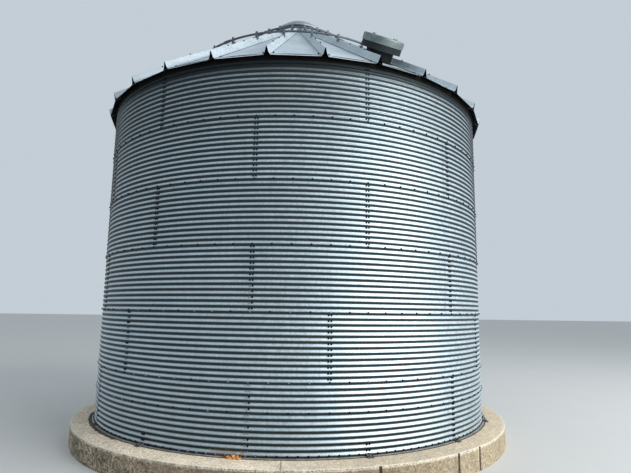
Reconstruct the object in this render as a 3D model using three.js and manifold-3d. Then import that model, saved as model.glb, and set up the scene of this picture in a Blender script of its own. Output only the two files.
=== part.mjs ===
// A round corrugated steel grain silo on a concrete pad, in millimetres, +Z up.
// The origin is on the silo's axis at the lowest ground beside the pad.
// Azimuth 0 faces -Y and grows towards +X.
import * as THREE from "three";
import { mergeVertices } from "three/addons/utils/BufferGeometryUtils.js";
import Module from "manifold-3d";

// Driving dimensions
const padHeight = 310; // pad top at the wall foot, above the lowest ground
const padEdgeDrop = 15; // the pad slopes down this much from the wall to its rim
const padRadius = 3540;
const padCrownRadius = 3270;
const padSides = 56;

const wallRadius = 3200.4; // middle of the corrugations, half of 21 ft
const corrugationDepth = 12.7;
const ringHeight = 812.8;
const ringCount = 6;
const firstRowRise = 30; // lowest row of bolts, above the pad
const sheetsPerRing = 7;
const boltsPerSheet = 12;
const firstBoltIndex = 2.16; // the bolt at azimuth 0 would have this index
const ringSeams = [0, 4, 0, 6, 0, 6]; // bolt index of each ring's first seam, from the bottom ring
const sheetsPerNode = [2, 2, 2, 1];

const ribCount = 28;
const ribsPerNode = 2;
const firstRibIndex = 0.5457; // the rib at azimuth 0 would have this index
const eaveRadius = 3308;
const roofPitch = 0.7;
const roofSheet = 5; // thickness of a roof sheet, measured upright
const ribAtEave = { height: 107, lean: 27, footWidth: 87, waistWidth: 35 }; // its top leans out past its foot
const ribTaper = 0.9; // size of a rib at the peak, as a share of its size at the eave
const ribWallTop = 12; // depth of metal under the sharp top of a rib
const ribWallSide = 3.5;

const collarRadius = 463;
const sheetSteel = 6;
const capRadius = 510;
const capRise = 255;
const capLip = 30;
const capRimHeight = 6985; // above the lowest row of bolts

// Heights of the hoops are above the lowest row of bolts
const hoops = [
  { name: "lower_roof_hoop", radius: 1944, height: 5952 },
  { name: "upper_roof_hoop", radius: 980, height: 6610 },
];
const hoopTube = 16.5;
const bracketFoot = 40;
const bracketHead = 28;
const bracketThickness = 8;

const ventPanel = 2; // the vent stands on the panel after this rib
const ventDistance = 2686; // from the silo's axis
const ventNeckRadius = 200;
const ventNeckHeight = 162;
const ventHoleRadius = 180;
const ventCapRadius = 302;
const ventBand = { bottom: 141, seam: 228, top: 334, step: 6, bevel: 14 };

const baseAngle = { inside: 3186, outside: 3240, leg: 60, thickness: 6 };
const anchorSpacing = 6; // bolts between one anchor foot and the next
const anchorFoot = { reach: 3295, width: 75, plate: 8, height: 30 };

const gap = 0.3; // between pieces that touch

// Derived dimensions
const boltsPerRow = sheetsPerRing * boltsPerSheet;
const wallOutside = wallRadius + corrugationDepth / 2;
const wallInside = wallRadius - corrugationDepth / 2;
const rowDatum = padHeight + firstRowRise; // lowest row of bolts
const wallTop = rowDatum + ringCount * ringHeight;
const ribAngle = (2 * Math.PI) / ribCount;
const facetCos = Math.cos(ribAngle / 2);
const facetPitch = roofPitch / facetCos; // slope along the middle of a flat panel
const eaveHeight = wallTop + gap + roofSheet - (eaveRadius * facetCos - wallOutside) * facetPitch;
const panelTopRadius = collarRadius + 2 * gap;

const boltAzimuth = (index) => ((index - firstBoltIndex) * 2 * Math.PI) / boltsPerRow;
const ribAzimuth = (index) => (index - firstRibIndex) * ribAngle;

// Materials
const steel = (color, roughness) => new THREE.MeshStandardMaterial({ color, roughness, metalness: 0.9 });
const wallSteel = steel(0xb4c4ca, 0.45);
const roofSteel = steel(0xc8d4da, 0.4);
const trimSteel = steel(0x9aa6ac, 0.5);
const hoopSteel = steel(0x6c757a, 0.55);
const concrete = new THREE.MeshStandardMaterial({ color: 0xbfb59c, roughness: 0.95, metalness: 0 });

// Solids
const wasm = await Module();
wasm.setup();

function solidFrom(geometry) {
  const bare = geometry.clone();
  bare.deleteAttribute("normal");
  bare.deleteAttribute("uv");
  const merged = mergeVertices(bare, 1e-3);
  return new wasm.Manifold(
    new wasm.Mesh({
      numProp: 3,
      vertProperties: merged.attributes.position.array,
      triVerts: new Uint32Array(merged.index.array),
    }),
  );
}

function geometryFrom(solid) {
  const made = solid.getMesh();
  const geometry = new THREE.BufferGeometry();
  geometry.setAttribute("position", new THREE.BufferAttribute(new Float32Array(made.vertProperties), 3));
  geometry.setIndex(new THREE.BufferAttribute(new Uint32Array(made.triVerts), 1));
  geometry.computeVertexNormals();
  return geometry;
}

const joined = (geometries) => geometryFrom(geometries.map(solidFrom).reduce((all, next) => all.add(next)));
const cut = (geometry, tool) => geometryFrom(solidFrom(geometry).subtract(solidFrom(tool)));

const polar = (radius, azimuth, z) =>
  new THREE.Vector3(radius * Math.sin(azimuth), -radius * Math.cos(azimuth), z);

// A body of revolution about +Z from [radius, height] points, its first corner at startAzimuth.
function turned(points, sides, startAzimuth = 0) {
  const profile = points.map(([radius, z]) => new THREE.Vector2(radius, z));
  return new THREE.LatheGeometry(profile, sides, startAzimuth).rotateX(Math.PI / 2);
}

// A plate cut to an outline of [radius, height] points, upright in the plane of one azimuth.
function uprightPlate(points, thickness, azimuth) {
  const shape = new THREE.Shape(points.map(([radius, z]) => new THREE.Vector2(radius, z)));
  const plate = new THREE.ExtrudeGeometry(shape, { depth: thickness, bevelEnabled: false });
  const outward = polar(1, azimuth, 0);
  const up = new THREE.Vector3(0, 0, 1);
  const across = new THREE.Vector3().crossVectors(outward, up);
  return plate.translate(0, 0, -thickness / 2).applyMatrix4(new THREE.Matrix4().makeBasis(outward, up, across));
}

const silo = new THREE.Group();

function place(parent, name, geometry, material) {
  const mesh = new THREE.Mesh(geometry, material);
  mesh.name = name;
  parent.add(mesh);
}

// Concrete pad: flat under the wall, sloping down to a sharp rim
function pad() {
  const profile = [
    [0, 0],
    [padRadius, 0],
    [padRadius, padHeight - padEdgeDrop],
    [padCrownRadius, padHeight],
    [0, padHeight],
  ];
  return turned(profile, padSides);
}

// Base angle inside the wall foot, with anchor feet reaching out over the pad; the foot at bolt 0 is missing
function baseAngleRing() {
  const foot = padHeight + gap;
  const flange = foot + baseAngle.thickness;
  const profile = [
    [baseAngle.inside, foot],
    [baseAngle.outside, foot],
    [baseAngle.outside, flange],
    [baseAngle.inside + baseAngle.thickness, flange],
    [baseAngle.inside + baseAngle.thickness, foot + baseAngle.leg],
    [baseAngle.inside, foot + baseAngle.leg],
    [baseAngle.inside, foot],
  ];
  const pieces = [turned(profile, boltsPerRow, boltAzimuth(0))];
  const back = wallOutside + 5 * gap;
  const outline = [
    [back, foot],
    [anchorFoot.reach, foot],
    [anchorFoot.reach, foot + anchorFoot.plate],
    [baseAngle.outside, foot + anchorFoot.height],
    [back, foot + anchorFoot.height],
  ];
  for (let bolt = anchorSpacing; bolt < boltsPerRow; bolt += anchorSpacing) {
    pieces.push(uprightPlate(outline, anchorFoot.width, boltAzimuth(bolt)));
  }
  return joined(pieces);
}

// Wall sheets of one ring between two bolt positions, as a smooth shell of the corrugations' depth
function wallSheets(firstBolt, lastBolt, bottom, top) {
  const slack = gap / 2 / wallRadius;
  const arc = (radius) => {
    const points = [];
    for (let bolt = firstBolt; bolt <= lastBolt; bolt += 1) {
      const atSeam = (bolt === firstBolt) - (bolt === lastBolt);
      const at = polar(radius, boltAzimuth(bolt) + atSeam * slack, 0);
      points.push(new THREE.Vector2(at.x, at.y));
    }
    return points;
  };
  const shape = new THREE.Shape([...arc(wallOutside), ...arc(wallInside).reverse()]);
  const sheet = new THREE.ExtrudeGeometry(shape, { depth: top - bottom, bevelEnabled: false });
  return sheet.translate(0, 0, bottom);
}

function addWall() {
  for (let ring = 0; ring < ringCount; ring += 1) {
    const floor = ring === 0 ? padHeight + gap + baseAngle.thickness : rowDatum + ring * ringHeight;
    const bottom = floor + gap;
    const top = rowDatum + (ring + 1) * ringHeight;
    let sheet = 0;
    for (const count of sheetsPerNode) {
      const first = ringSeams[ring] + sheet * boltsPerSheet;
      const last = first + count * boltsPerSheet;
      const label = count > 1 ? `sheets_${sheet + 1}_${sheet + count}` : `sheet_${sheet + 1}`;
      place(silo, `wall_ring_${ring + 1}_${label}`, wallSheets(first, last, bottom, top), wallSteel);
      sheet += count;
    }
  }
}

// Roof
const roofHeight = (radius) => eaveHeight + (eaveRadius - radius) * roofPitch; // along a rib's foot line

// Height of the straight ridge of a rib, which runs from its leaning end at the eave to the peak
function ridgeHeight(radius) {
  const eave = { radius: eaveRadius + ribAtEave.lean, z: eaveHeight + ribAtEave.height };
  const peak = { radius: panelTopRadius, z: roofHeight(panelTopRadius) + ribAtEave.height * ribTaper };
  return eave.z + ((eave.radius - radius) * (peak.z - eave.z)) / (eave.radius - peak.radius);
}

// Both faces of a row of roof sheets at one radius: each rib is a sharp fold, open underneath
function roofSection(firstRib, radius, size, lean) {
  const top = [];
  const under = [];
  const z = roofHeight(radius);
  const corner = (rib) => polar(radius, ribAzimuth(rib), z);
  const along = (rib, side, width) => {
    const start = corner(rib);
    const direction = corner(rib + side).sub(start).normalize();
    return start.addScaledVector(direction, width);
  };
  const leaning = (rib, side, width, share) => along(rib, side, width).add(polar(lean * share, ribAzimuth(rib), 0));
  const add = (point, rise, underPoint, underRise) => {
    top.push(point.clone().setZ(z + rise));
    under.push(underPoint.clone().setZ(z + underRise));
  };
  const foot = (ribAtEave.footWidth / 2) * size;
  const waist = (ribAtEave.waistWidth / 2) * size;
  const height = ribAtEave.height * size;
  for (let rib = firstRib; rib < firstRib + ribsPerNode; rib += 1) {
    for (const side of [-1, 0, 1]) {
      if (side === 0) {
        const ridge = leaning(rib, 1, 0, 1);
        add(ridge, height, ridge, height - ribWallTop);
        continue;
      }
      const inFoot = foot - (ribWallSide * (1 + side)) / 2;
      const outWaist = leaning(rib, side, waist, 1 / 2);
      const inWaist = leaning(rib, side, waist - ribWallSide, 1 / 2);
      const pair = [
        [along(rib, side, foot), 0, along(rib, side, inFoot), -roofSheet],
        [outWaist, height / 2, inWaist, height / 2 - ribWallSide],
      ];
      if (side > 0) pair.reverse();
      pair.forEach((entry) => add(...entry));
    }
  }
  const end = along(firstRib + ribsPerNode, -1, foot + gap);
  add(end, 0, end, -roofSheet);
  return { top, under };
}

// A closed sheet between two sections that have the same number of points
function sheetBetween(low, high) {
  const columns = low.top.length;
  const loops = [low.top, high.top, low.under, high.under];
  const positions = loops.flat().flatMap((point) => point.toArray());
  const [lowTop, highTop, lowUnder, highUnder] = loops.map((_, loop) => loop * columns);
  const index = [];
  const quad = (a, b, c, d) => index.push(a, b, c, a, c, d);
  for (let i = 0; i < columns - 1; i += 1) {
    quad(lowTop + i, lowTop + i + 1, highTop + i + 1, highTop + i);
    quad(lowUnder + i, highUnder + i, highUnder + i + 1, lowUnder + i + 1);
    quad(lowUnder + i, lowUnder + i + 1, lowTop + i + 1, lowTop + i);
    quad(highTop + i, highTop + i + 1, highUnder + i + 1, highUnder + i);
  }
  const last = columns - 1;
  quad(lowTop, highTop, highUnder, lowUnder);
  quad(lowTop + last, lowUnder + last, highUnder + last, highTop + last);
  const geometry = new THREE.BufferGeometry();
  geometry.setAttribute("position", new THREE.Float32BufferAttribute(positions, 3));
  geometry.setIndex(index);
  geometry.computeVertexNormals();
  return geometry;
}

// The vent stands square to its panel: a group turned to the panel's azimuth, then tilted to its slope
const ventBase = eaveHeight + (eaveRadius * facetCos - ventDistance) * facetPitch;

function ventFrame() {
  const turn = new THREE.Group();
  turn.rotation.z = ribAzimuth(ventPanel + 0.5);
  const tilt = new THREE.Group();
  tilt.position.set(0, -ventDistance, ventBase);
  tilt.rotation.x = Math.atan(facetPitch);
  turn.add(tilt);
  turn.updateMatrixWorld(true);
  return { turn, tilt };
}

function addRoof() {
  const { tilt } = ventFrame();
  for (let node = 0; node < ribCount / ribsPerNode; node += 1) {
    const firstRib = node * ribsPerNode;
    const eave = roofSection(firstRib, eaveRadius, 1, ribAtEave.lean);
    const peak = roofSection(firstRib, panelTopRadius, ribTaper, 0);
    let sheets = sheetBetween(eave, peak);
    if (firstRib <= ventPanel && ventPanel < firstRib + ribsPerNode) {
      const hole = new THREE.CylinderGeometry(ventHoleRadius, ventHoleRadius, 8 * roofSheet, 32);
      sheets = cut(sheets, hole.rotateX(Math.PI / 2).applyMatrix4(tilt.matrixWorld));
    }
    place(silo, `roof_panels_${node + 1}`, sheets, roofSteel);
  }
}

// Peak: a collar in the ring of panel ends, with a shallow dome resting on it
const domeHeight = (radius) => rowDatum + capRimHeight + capRise * (1 - (radius / capRadius) ** 2);

function peakCollar() {
  const bottom = roofHeight(collarRadius) - capLip;
  const top = domeHeight(collarRadius) - sheetSteel - gap;
  const inside = collarRadius - sheetSteel;
  const profile = [
    [inside, bottom],
    [collarRadius, bottom],
    [collarRadius, top],
    [inside, top],
    [inside, bottom],
  ];
  return turned(profile, ribCount, ribAzimuth(0));
}

function peakCap() {
  const steps = 5;
  const radii = Array.from({ length: steps + 1 }, (_, i) => (collarRadius * i) / steps);
  const lipBottom = rowDatum + capRimHeight - capLip;
  const profile = [
    ...radii.map((radius) => [radius, domeHeight(radius) - sheetSteel]),
    [capRadius - sheetSteel, domeHeight(capRadius) - sheetSteel],
    [capRadius - sheetSteel, lipBottom],
    [capRadius, lipBottom],
    [capRadius, domeHeight(capRadius)],
    ...radii.reverse().map((radius) => [radius, domeHeight(radius)]),
  ];
  return turned(profile, padSides, ribAzimuth(0));
}

// A pipe hoop on a bracket over each rib
function hoopOnBrackets({ radius, height }) {
  const z = rowDatum + height;
  const pipe = new THREE.TorusGeometry(radius, hoopTube, 8, padSides).rotateZ(ribAzimuth(0));
  const pieces = [pipe.translate(0, 0, z)];
  const inner = radius - bracketFoot / 2;
  const outer = radius + bracketFoot / 2;
  const outline = [
    [inner, ridgeHeight(inner) + gap],
    [outer, ridgeHeight(outer) + gap],
    [radius + bracketHead / 2, z],
    [radius - bracketHead / 2, z],
  ];
  for (let rib = 0; rib < ribCount; rib += 1) {
    pieces.push(uprightPlate(outline, bracketThickness, ribAzimuth(rib)));
  }
  return joined(pieces);
}

// Roof vent: a neck over the hole, and an open hood whose stays sit on the neck
function ventNeck() {
  const inside = ventNeckRadius - sheetSteel;
  const profile = [
    [inside, gap],
    [ventNeckRadius, gap],
    [ventNeckRadius, ventNeckHeight],
    [inside, ventNeckHeight],
    [inside, gap],
  ];
  return turned(profile, 32);
}

function ventCap() {
  const { bottom, seam, top, step, bevel } = ventBand;
  const skirt = ventCapRadius - step;
  const profile = [
    [0, top - sheetSteel],
    [skirt - sheetSteel, top - sheetSteel],
    [skirt - sheetSteel, bottom],
    [skirt, bottom],
    [skirt, seam],
    [ventCapRadius, seam],
    [ventCapRadius, top - bevel],
    [ventCapRadius - bevel, top],
    [0, top],
  ];
  const pieces = [turned(profile, 48)];
  const stayLength = 2 * (skirt - sheetSteel / 2);
  for (const turn of [0, Math.PI / 2]) {
    const stay = new THREE.BoxGeometry(stayLength, bracketFoot, sheetSteel);
    pieces.push(stay.translate(0, 0, ventNeckHeight + gap + sheetSteel / 2).rotateZ(turn));
  }
  return joined(pieces);
}

function addVent() {
  const { turn, tilt } = ventFrame();
  place(tilt, "vent_neck", ventNeck(), trimSteel);
  place(tilt, "vent_cap", ventCap(), trimSteel);
  silo.add(turn);
}

place(silo, "concrete_pad", pad(), concrete);
place(silo, "base_angle", baseAngleRing(), trimSteel);
addWall();
addRoof();
place(silo, "peak_collar", peakCollar(), trimSteel);
place(silo, "peak_cap", peakCap(), roofSteel);
for (const hoop of hoops) place(silo, hoop.name, hoopOnBrackets(hoop), hoopSteel);
addVent();

export default silo;
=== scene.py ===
import math
import random

import bmesh
import bpy
from mathutils import Matrix, Vector


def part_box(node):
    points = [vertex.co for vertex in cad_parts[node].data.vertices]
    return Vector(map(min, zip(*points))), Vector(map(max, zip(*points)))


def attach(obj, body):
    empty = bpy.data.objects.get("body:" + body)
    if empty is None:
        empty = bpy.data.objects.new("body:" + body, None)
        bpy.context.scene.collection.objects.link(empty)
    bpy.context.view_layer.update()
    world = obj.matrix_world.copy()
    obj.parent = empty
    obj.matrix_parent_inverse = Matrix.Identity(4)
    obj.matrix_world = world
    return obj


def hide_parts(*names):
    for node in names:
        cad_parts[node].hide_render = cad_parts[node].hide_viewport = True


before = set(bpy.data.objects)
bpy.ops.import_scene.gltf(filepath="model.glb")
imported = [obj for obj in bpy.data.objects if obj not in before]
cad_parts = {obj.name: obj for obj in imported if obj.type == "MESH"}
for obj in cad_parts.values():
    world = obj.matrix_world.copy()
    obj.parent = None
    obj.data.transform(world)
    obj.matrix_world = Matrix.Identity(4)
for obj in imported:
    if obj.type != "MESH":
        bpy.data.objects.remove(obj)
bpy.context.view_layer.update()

random.seed(11)

# Metres. Azimuth 0 faces -Y, the side in the picture, and grows towards +X.
padLow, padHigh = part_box("concrete_pad")
ringLow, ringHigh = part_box("wall_ring_1_sheets_1_2")
roofLow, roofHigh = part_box("roof_panels_1")

silo = {
    "rings": 6,
    "ringHeight": 0.8128,
    "wavesPerRing": 12,
    "waveDepth": 0.0127,
    "wallRadius": 3.2004,
    "sheetsPerRing": 7,
    "boltsPerSheet": 12,
    "firstBolt": 2.16,  # number of a bolt that would sit at azimuth 0
    "ringSeams": (0, 4, 0, 6, 0, 6),  # bolt number of the first seam of each ring
    "sheetsPerPiece": (2, 2, 2, 1),
    "ribs": 28,
    "ribsPerPiece": 2,
    "firstRib": 0.5457,
}
rowDatum = ringHigh.z - silo["ringHeight"]  # height of the lowest row of bolts
wave = silo["ringHeight"] / silo["wavesPerRing"]
perRow = silo["sheetsPerRing"] * silo["boltsPerSheet"]
boltTurn = math.tau / perRow
sheetTurn = boltTurn * silo["boltsPerSheet"]
ribTurn = math.tau / silo["ribs"]


def boltAzimuth(number):
    return (number - silo["firstBolt"]) * boltTurn


def ribAzimuth(number):
    return (number - silo["firstRib"]) * ribTurn


def polar(radius, azimuth, height):
    return Vector((radius * math.sin(azimuth), -radius * math.cos(azimuth), height))


# Small helpers for modelling


def takeUp(*pieces):
    if bpy.context.object and bpy.context.object.mode == "EDIT":
        bpy.ops.object.mode_set(mode="OBJECT")
    bpy.ops.object.select_all(action="DESELECT")
    for piece in pieces:
        piece.select_set(True)
    if pieces:
        bpy.context.view_layer.objects.active = pieces[-1]


# Makes the place, turn and size of the object in hand part of its mesh
def applyPlace():
    bpy.ops.object.transform_apply(location=True, rotation=True, scale=True)
    return bpy.context.object


def selectAll():
    bpy.ops.mesh.select_all(action="SELECT")


def editMode():
    bpy.ops.object.mode_set(mode="EDIT")
    selectAll()


def objectMode():
    bpy.ops.object.mode_set(mode="OBJECT")


# Selects by place or normal in edit mode. kind is VERT, EDGE or FACE.
def choose(kind, test):
    bpy.ops.mesh.select_mode(type=kind)
    bpy.ops.mesh.select_all(action="DESELECT")
    cage = bmesh.from_edit_mesh(bpy.context.object.data)
    for part in {"VERT": cage.verts, "EDGE": cage.edges, "FACE": cage.faces}[kind]:
        if test(part):
            part.select_set(True)
    cage.select_flush_mode()
    bmesh.update_edit_mesh(bpy.context.object.data)


def extrudeBy(shift):
    bpy.ops.mesh.extrude_region_move(TRANSFORM_OT_translate={"value": shift})


def extrudeAll(shift):
    selectAll()
    extrudeBy(shift)


def cutLevel(height):
    selectAll()
    bpy.ops.mesh.bisect(plane_co=(0, 0, height), plane_no=(0, 0, 1))


# In edit mode: a chain of edges through the points, drawn by extruding one vertex
def drawChain(points):
    bpy.ops.mesh.select_mode(type="VERT")
    bpy.ops.mesh.primitive_plane_add(size=0.001)
    bpy.ops.mesh.merge(type="CENTER")
    bpy.ops.transform.translate(value=points[0])
    for here, there in zip(points, points[1:]):
        extrudeBy(there - here)


def startPiece(name):
    takeUp()
    bpy.ops.mesh.primitive_plane_add(size=0.001)
    piece = bpy.context.object
    piece.name = name
    editMode()
    bpy.ops.mesh.delete(type="VERT")
    return piece


# Turns what is selected round the silo's axis
def spin(steps, angle, centre=(0, 0, 0)):
    bpy.ops.mesh.spin(steps=steps, angle=angle, center=centre, axis=(0, 0, 1))


# A solid turned round the silo's axis, from a profile that closes on itself or ends on the axis
def turnPiece(name, profile, steps):
    piece = startPiece(name)
    drawChain([polar(radius, 0, height) for radius, height in profile])
    selectAll()
    spin(steps, math.tau)
    closeShell()
    objectMode()
    return piece


def closeShell():
    selectAll()
    bpy.ops.mesh.remove_doubles(threshold=0.00005)
    bpy.ops.mesh.normals_make_consistent(inside=False)


def addCylinder(sides, radius, depth, centre, rotation=(0, 0, 0)):
    takeUp()
    bpy.ops.mesh.primitive_cylinder_add(
        vertices=sides, radius=radius, depth=depth, location=centre, rotation=rotation
    )
    return applyPlace()


def addBlock(name, low, high):
    takeUp()
    centre = (Vector(low) + Vector(high)) / 2
    bpy.ops.mesh.primitive_cube_add(size=1, location=centre, scale=Vector(high) - Vector(low))
    block = applyPlace()
    block.name = name
    return block


# Turns a piece about the silo's axis and lifts it
def turnTo(piece, turn, lift=0.0):
    takeUp(piece)
    piece.rotation_euler.z = turn
    piece.location.z = lift
    return applyPlace()


def copyPiece(piece, turn, lift=0.0):
    takeUp(piece)
    bpy.ops.object.duplicate()
    return turnTo(bpy.context.object, turn, lift)


def joinPieces(pieces, name):
    takeUp(*pieces)
    if len(pieces) > 1:
        bpy.ops.object.join()
    piece = bpy.context.object
    piece.name = name
    return piece


def applyModifier(piece, kind, **settings):
    takeUp(piece)
    modifier = piece.modifiers.new(kind.title(), kind)
    for name, value in settings.items():
        setattr(modifier, name, value)
    bpy.ops.object.modifier_apply(modifier=modifier.name)


# Repeats a piece round the axis with an array that is turned by a handle
def arrayRound(piece, count, turn):
    handle = bpy.data.objects.new("turnHandle", None)
    bpy.context.scene.collection.objects.link(handle)
    handle.rotation_euler.z = turn
    bpy.context.view_layer.update()
    applyModifier(
        piece, "ARRAY", count=count, use_relative_offset=False, use_object_offset=True, offset_object=handle
    )
    bpy.data.objects.remove(handle)


# Moves the surface of a piece by cloud noise that is fixed in space
def displace(piece, name, grain, strength, middle=0.5, depth=2, **settings):
    clouds = bpy.data.textures.new(name, "CLOUDS")
    clouds.noise_scale = grain
    clouds.noise_depth = depth
    settings = {"texture": clouds, "texture_coords": "GLOBAL", **settings}
    applyModifier(piece, "DISPLACE", strength=strength, mid_level=middle, **settings)


def thicken(piece, steel, **settings):
    applyModifier(piece, "SOLIDIFY", thickness=steel, **settings)


def smooth(piece, degrees=35):
    takeUp(piece)
    bpy.ops.object.shade_smooth_by_angle(angle=math.radians(degrees))


def dress(piece, *materials):
    for material in materials:
        piece.data.materials.append(material)


def finishPiece(piece, slot, *nodes):
    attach(piece, "root")
    if nodes:
        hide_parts(*nodes)


# Gives the faces that pass a test another of the piece's materials
def repaint(piece, index, test):
    for face in piece.data.polygons:
        if test(face.center):
            face.material_index = index


def azimuthOf(point):
    return math.degrees(math.atan2(point.x, -point.y))


# Shader nodes


# Sets the sockets of a node: a link from another node's socket, or a value
def feed(tree, node, sockets):
    for name, value in sockets.items():
        if isinstance(value, bpy.types.NodeSocket):
            tree.links.new(value, node.inputs[name])
        else:
            node.inputs[name].default_value = value


def put(tree, kind, sockets=None, **settings):
    node = tree.nodes.new("ShaderNode" + kind)
    for name, value in settings.items():
        setattr(node, name, value)
    feed(tree, node, sockets or {})
    return node


def mathNode(tree, operation, first, second=0.0):
    return put(tree, "Math", {0: first, 1: second}, operation=operation).outputs[0]


def times(tree, first, second):
    return mathNode(tree, "MULTIPLY", first, second)


def spread(tree, value, low, high, toLow=0.0, toHigh=1.0):
    sockets = {"Value": value, "From Min": low, "From Max": high, "To Min": toLow, "To Max": toHigh}
    return put(tree, "MapRange", sockets, interpolation_type="SMOOTHSTEP").outputs["Result"]


def vectorMath(tree, operation, first, second=None):
    sockets = {0: first} if second is None else {0: first, 1: second}
    return put(tree, "VectorMath", sockets, operation=operation).outputs


def noise(tree, place, scale, detail, roughness=0.5):
    sockets = {"Vector": place, "Scale": scale, "Detail": detail, "Roughness": roughness}
    return put(tree, "TexNoise", sockets).outputs[0]


def blendColour(tree, factor, first, second, mode="MIX"):
    node = put(tree, "Mix", {0: factor, 6: first, 7: second}, data_type="RGBA", blend_type=mode)
    return node.outputs[2]


# Makes a colour darker or lighter by a value
def shadeBy(tree, colour, value):
    grey = put(tree, "CombineColor", {0: value, 1: value, 2: value}).outputs[0]
    return blendColour(tree, 1.0, colour, grey, "MULTIPLY")


def rgb(red, green, blue):
    return (red, green, blue, 1.0)


def objectPlace(tree, scale=None):
    place = put(tree, "TexCoord").outputs["Object"]
    if scale is None:
        return place
    return put(tree, "Mapping", {"Vector": place, "Scale": scale}).outputs["Vector"]


def objectAxes(tree):
    return put(tree, "SeparateXYZ", {0: objectPlace(tree)}).outputs


# How far a face looks up: 1 is level, -1 looks straight down
def facingUp(tree):
    return put(tree, "SeparateXYZ", {0: put(tree, "NewGeometry").outputs["Normal"]}).outputs[2]


def newGroup(name, inputs, outputs):
    tree = bpy.data.node_groups.new(name, "ShaderNodeTree")
    for label, kind, value in inputs:
        socket = tree.interface.new_socket(label, in_out="INPUT", socket_type="NodeSocket" + kind)
        if value is not None:
            socket.default_value = value
    for label in outputs:
        tree.interface.new_socket(label, in_out="OUTPUT", socket_type="NodeSocketFloat")
    return tree, tree.nodes.new("NodeGroupInput").outputs, tree.nodes.new("NodeGroupOutput").inputs


def useGroup(tree, group, sockets):
    return put(tree, "Group", sockets, node_tree=group).outputs


# Zinc crystals: a value for each grain and a low relief at their borders
def makeSpangle():
    inputs = [("Vector", "Vector", None), ("Grain", "Float", 60.0)]
    tree, given, out = newGroup("zincSpangle", inputs, ["Crystal", "Relief"])
    grains = put(tree, "TexVoronoi", {"Vector": given["Vector"], "Scale": given["Grain"]})
    cell = put(tree, "SeparateColor", {"Color": grains.outputs["Color"]})
    tree.links.new(cell.outputs[0], out["Crystal"])
    tree.links.new(grains.outputs["Distance"], out["Relief"])
    return tree


# Marks that rain leaves: noise drawn out along the height
def makeStreaks():
    inputs = [
        ("Across", "Float", 20.0), ("Down", "Float", 0.8), ("Low", "Float", 0.4), ("High", "Float", 0.7),
    ]
    tree, given, out = newGroup("rainStreaks", inputs, ["Mask"])
    squeeze = put(tree, "CombineXYZ", {0: given["Across"], 1: given["Across"], 2: given["Down"]}).outputs[0]
    place = vectorMath(tree, "MULTIPLY", objectPlace(tree), squeeze)[0]
    drawn = noise(tree, place, scale=1.0, detail=4.0, roughness=0.6)
    tree.links.new(spread(tree, drawn, given["Low"], given["High"]), out["Mask"])
    return tree


# Painted shade on faces that look down
def makeDownFacingShade():
    inputs = [
        ("Edge", "Float", 0.0), ("Softness", "Float", 0.1), ("Wander", "Float", 0.1), ("Crest", "Float", 0.0),
    ]
    tree, given, out = newGroup("downFacingShade", inputs, ["Mask"])
    wander = noise(tree, objectPlace(tree, (3, 3, 9)), scale=2.0, detail=5.0)
    shift = times(tree, mathNode(tree, "SUBTRACT", wander, 0.5), given["Wander"])
    moved = mathNode(tree, "SUBTRACT", mathNode(tree, "ADD", facingUp(tree), shift), given["Crest"])
    low = mathNode(tree, "SUBTRACT", given["Edge"], given["Softness"])
    high = mathNode(tree, "ADD", given["Edge"], given["Softness"])
    tree.links.new(spread(tree, moved, low, high, 1.0, 0.0), out["Mask"])
    return tree


# A ragged patch round a point of the object
def makePatch():
    inputs = [("Centre", "Vector", None), ("Size", "Vector", None), ("Grain", "Float", 20.0)]
    tree, given, out = newGroup("raggedPatch", inputs, ["Mask"])
    away = vectorMath(tree, "SUBTRACT", objectPlace(tree), given["Centre"])[0]
    reach = vectorMath(tree, "LENGTH", vectorMath(tree, "DIVIDE", away, given["Size"])[0])["Value"]
    edge = noise(tree, objectPlace(tree), given["Grain"], detail=6.0, roughness=0.7)
    torn = spread(tree, edge, 0.3, 0.7, -0.5, 0.5)
    tree.links.new(spread(tree, mathNode(tree, "ADD", reach, torn), 0.55, 1.0, 1.0, 0.0), out["Mask"])
    return tree


# Sand, pits, stones and blotches of cast concrete
def makeConcreteGrain():
    inputs = [("Grain", "Float", 60.0), ("Blotch", "Float", 4.0)]
    tree, given, out = newGroup("concreteGrain", inputs, ["Sand", "Blotch", "Pits", "Stones"])
    place = objectPlace(tree)
    pits = put(tree, "TexVoronoi", {"Vector": place, "Scale": given["Grain"]}).outputs
    tree.links.new(noise(tree, place, given["Grain"], detail=8.0, roughness=0.75), out["Sand"])
    tree.links.new(noise(tree, place, given["Blotch"], detail=6.0, roughness=0.65), out["Blotch"])
    tree.links.new(spread(tree, pits["Distance"], 0.05, 0.35), out["Pits"])
    tree.links.new(put(tree, "SeparateColor", {"Color": pits["Color"]}).outputs[0], out["Stones"])
    return tree


spangleGroup = makeSpangle()
streakGroup = makeStreaks()
downFacingShadeGroup = makeDownFacingShade()
patchGroup = makePatch()
concreteGroup = makeConcreteGrain()


def newMaterial(name):
    material = bpy.data.materials.new(name)
    material.use_nodes = True
    tree = material.node_tree
    return material, tree, tree.nodes["Principled BSDF"]


shaderSockets = {"colour": "Base Color", "rough": "Roughness", "metal": "Metallic", "normal": "Normal"}


def paint(tree, shader, **values):
    feed(tree, shader, {shaderSockets[name]: value for name, value in values.items()})


def bump(tree, height, strength, distance):
    sockets = {"Height": height, "Strength": strength, "Distance": distance}
    return put(tree, "Bump", sockets).outputs["Normal"]


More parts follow.
